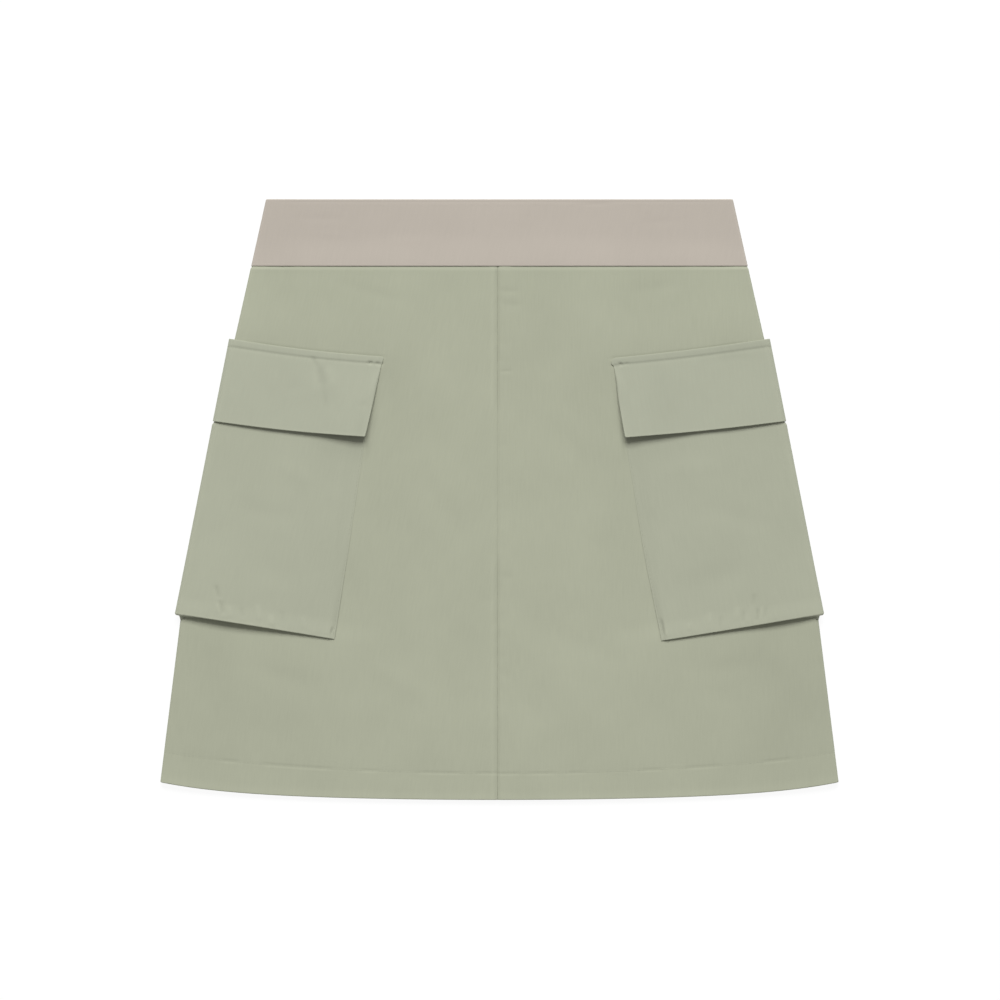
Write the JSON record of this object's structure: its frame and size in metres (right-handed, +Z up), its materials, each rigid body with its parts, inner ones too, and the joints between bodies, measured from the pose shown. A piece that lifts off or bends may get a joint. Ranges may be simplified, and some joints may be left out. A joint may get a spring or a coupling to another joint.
{
  "type": "cargo utility skirt",
  "caption": "Flared pull-on skirt laid flat, with a wide plain waistband, a front seam and a flapped bag pocket wrapped round each side.",
  "frame": {"origin": "on the floor under the middle of the skirt's outline, halfway between the band's top edge and the lowest point of the hem", "axes": "+X across the skirt towards its right side as laid, +Y up the skirt towards the waist, +Z up off the floor, out of the front"},
  "size_m": [0.5102, 0.4516, 0.0144],
  "materials": {
    "band_cloth": "matte smooth cloth, warm taupe",
    "skirt_twill": "matte fine twill, grey sage green",
    "pocket_twill": "matte fine twill, grey sage green",
    "flap_twill": "matte fine twill, grey sage green"
  },
  "bodies": {
    "root": {"waistband_front": "band_cloth", "waistband_back": "band_cloth", "front_left": "skirt_twill", "front_right": "skirt_twill", "back": "skirt_twill", "pocket_left": "pocket_twill", "pocket_right": "pocket_twill", "flap_left": "flap_twill", "flap_right": "flap_twill"}
  },
  "joints": []
}
